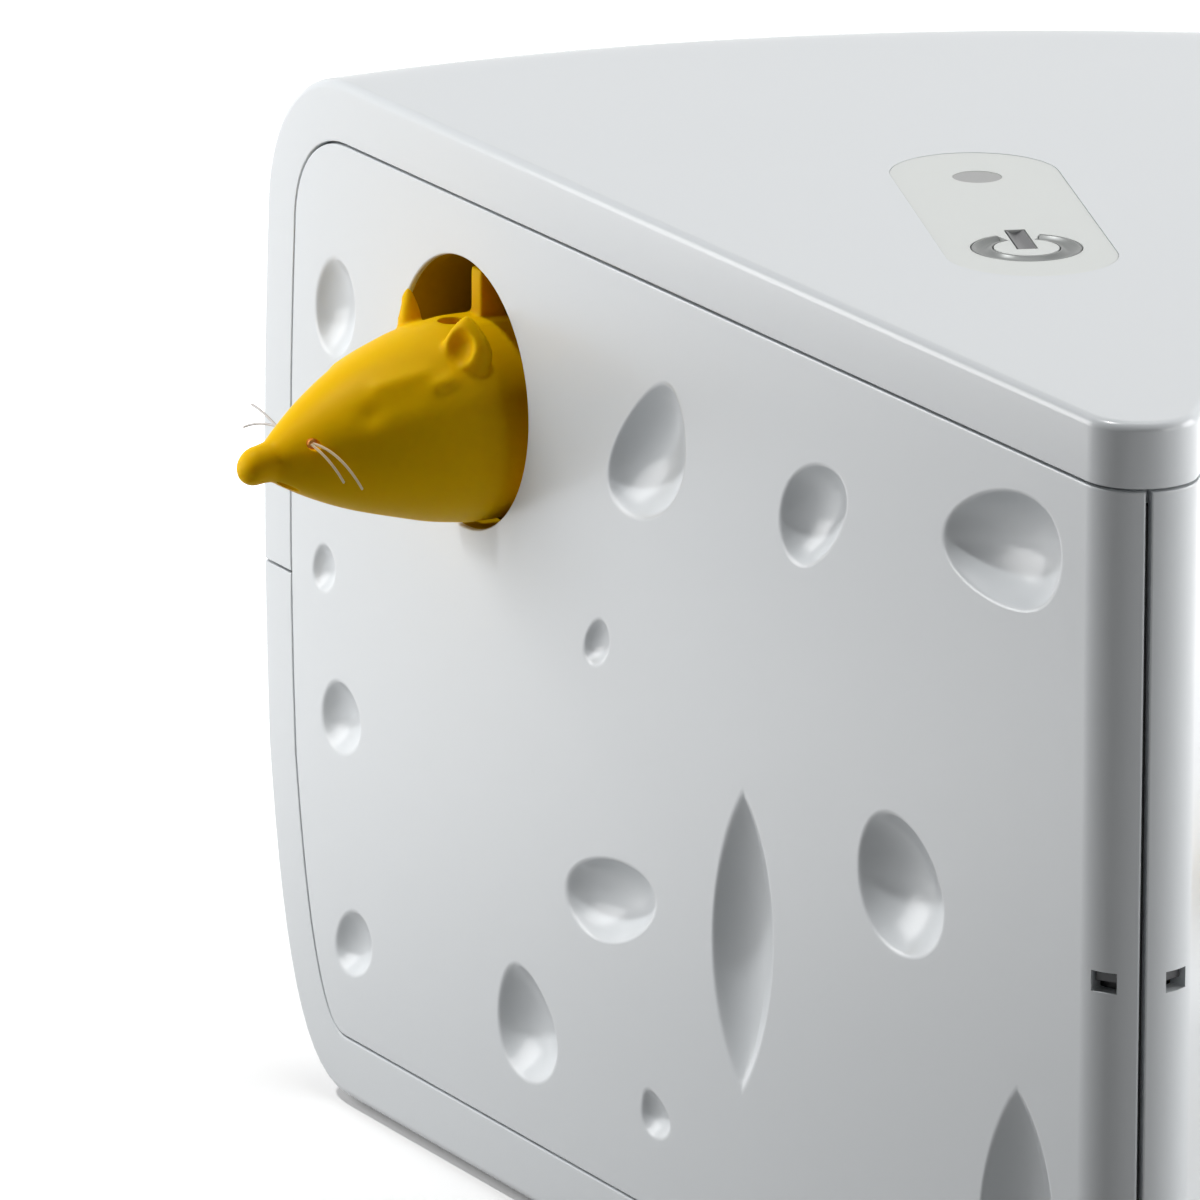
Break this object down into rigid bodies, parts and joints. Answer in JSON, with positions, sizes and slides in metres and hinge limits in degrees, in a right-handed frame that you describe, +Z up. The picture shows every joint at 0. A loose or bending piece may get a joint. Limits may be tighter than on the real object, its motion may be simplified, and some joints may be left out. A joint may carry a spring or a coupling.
{
  "type": "cat toy",
  "caption": "Wedge-shaped electronic cat toy with cratered side panels, mice that slide in and out on motor-driven racks, a power key and a battery hatch.",
  "frame": {"origin": "middle of the bounding box in plan, at the level of the soles of the feet", "axes": "+Y runs from the thin end to the round rind, +Z is up, +X is to the right seen from the thin end"},
  "size_m": [0.1958, 0.2396, 0.15],
  "materials": {
    "white_shell": "gloss",
    "milky_key": "satin",
    "grey_inlay": "gloss",
    "yellow_plastic": "satin",
    "natural_plastic": "satin",
    "black_plastic": "matte",
    "steel": "satin",
    "brass": "satin",
    "cell": "satin",
    "motor": "satin",
    "board": "satin",
    "grey_rubber": "matte",
    "red_lamp": "gloss",
    "nylon": "satin"
  },
  "bodies": {
    "housing": {"top_cover": "white_shell", "bottom_cover": "white_shell", "left_panel": "white_shell", "right_panel": "white_shell", "apex_post": "black_plastic", "circuit_board": "board", "press_switch": "black_plastic", "status_led": "red_lamp", "battery_case": "black_plastic", "battery_cell_1": "cell", "tip_contact_1": "steel", "spring_contact_1": "steel", "housing_screw_1": "steel", "battery_cell_2": "cell", "tip_contact_2": "steel", "spring_contact_2": "steel", "housing_screw_2": "steel", "battery_cell_3": "cell", "tip_contact_3": "steel", "spring_contact_3": "steel", "housing_screw_3": "steel", "foot_front": "grey_rubber", "foot_left": "grey_rubber", "foot_right": "grey_rubber", "left_tunnel": "yellow_plastic", "left_drive_frame": "natural_plastic", "left_drive_plate": "natural_plastic", "left_output_axle": "steel", "left_idler_axle": "steel", "left_motor": "motor", "left_end_switch": "black_plastic", "right_tunnel": "yellow_plastic", "right_drive_frame": "natural_plastic", "right_drive_plate": "natural_plastic", "right_output_axle": "steel", "right_idler_axle": "steel", "right_motor": "motor", "right_end_switch": "black_plastic"},
    "power_key": {"power_key": "milky_key", "power_symbol": "grey_inlay", "lamp_window": "grey_inlay"},
    "switch_plunger": {"switch_plunger": "black_plastic"},
    "battery_door": {"battery_door": "white_shell", "door_screw": "steel"},
    "left_mouse": {"left_mouse_head": "yellow_plastic", "left_mouse_whiskers": "nylon", "left_mouse_slide": "yellow_plastic", "left_head_screw": "steel"},
    "left_output": {"left_output_gear": "natural_plastic"},
    "left_idler": {"left_idler_gear": "natural_plastic"},
    "left_motor_shaft": {"left_motor_pinion": "brass"},
    "right_mouse": {"right_mouse_head": "yellow_plastic", "right_mouse_whiskers": "nylon", "right_mouse_slide": "yellow_plastic", "right_head_screw": "steel"},
    "right_output": {"right_output_gear": "natural_plastic"},
    "right_idler": {"right_idler_gear": "natural_plastic"},
    "right_motor_shaft": {"right_motor_pinion": "brass"}
  },
  "joints": [
    {"name": "power_key_tilt", "type": "hinge", "parent": "housing", "child": "power_key", "pos_m": [0.00117, 0.02581, 0.1472], "axis": [1, 0, 0], "range_deg": [0, 0.8], "stiffness_Nm_per_rad": 11},
    {"name": "switch_plunger_slide", "type": "slide", "parent": "housing", "child": "switch_plunger", "axis": [0, 0, -1], "range_m": [0, 0.0008]},
    {"name": "battery_door_hinge", "type": "hinge", "parent": "housing", "child": "battery_door", "pos_m": [0.00117, -0.04489, 0.0015], "axis": [-1, 0, 0], "range_deg": [0, 40]},
    {"name": "left_mouse_slide", "type": "slide", "parent": "housing", "child": "left_mouse", "axis": [-0.9373, -0.3486, 0], "range_m": [-0.036, 0]},
    {"name": "left_output_spin", "type": "hinge", "parent": "housing", "child": "left_output", "pos_m": [-0.01094, 0.06457, 0.0883], "axis": [0.3486, -0.9373, 0], "range_deg": [-344, 0]},
    {"name": "left_idler_spin", "type": "hinge", "parent": "housing", "child": "left_idler", "pos_m": [0.00124, 0.0691, 0.0883], "axis": [0.3486, -0.9373, 0], "range_deg": [0, 774]},
    {"name": "left_motor_spin", "type": "hinge", "parent": "housing", "child": "left_motor_shaft", "pos_m": [0.01324, 0.07356, 0.0883], "axis": [0.3486, -0.9373, 0], "range_deg": [-2321, 0]},
    {"name": "right_mouse_slide", "type": "slide", "parent": "housing", "child": "right_mouse", "axis": [0.9373, -0.3486, 0], "range_m": [-0.036, 0]},
    {"name": "right_output_spin", "type": "hinge", "parent": "housing", "child": "right_output", "pos_m": [0.01094, 0.05829, 0.0178], "axis": [0.3486, 0.9373, 0], "range_deg": [-344, 0]},
    {"name": "right_idler_spin", "type": "hinge", "parent": "housing", "child": "right_idler", "pos_m": [-0.00124, 0.06282, 0.0178], "axis": [0.3486, 0.9373, 0], "range_deg": [0, 774]},
    {"name": "right_motor_spin", "type": "hinge", "parent": "housing", "child": "right_motor_shaft", "pos_m": [-0.01324, 0.06728, 0.0178], "axis": [0.3486, 0.9373, 0], "range_deg": [-2321, 0]}
  ],
  "couplings": [
    {"joint": "switch_plunger_slide", "follows": "power_key_tilt", "m_per_rad": 0.0532},
    {"joint": "left_output_spin", "follows": "left_mouse_slide", "rad_per_m": 166.67},
    {"joint": "left_idler_spin", "follows": "left_mouse_slide", "rad_per_m": -375},
    {"joint": "left_motor_spin", "follows": "left_mouse_slide", "rad_per_m": 1125},
    {"joint": "right_output_spin", "follows": "right_mouse_slide", "rad_per_m": 166.67},
    {"joint": "right_idler_spin", "follows": "right_mouse_slide", "rad_per_m": -375},
    {"joint": "right_motor_spin", "follows": "right_mouse_slide", "rad_per_m": 1125}
  ]
}
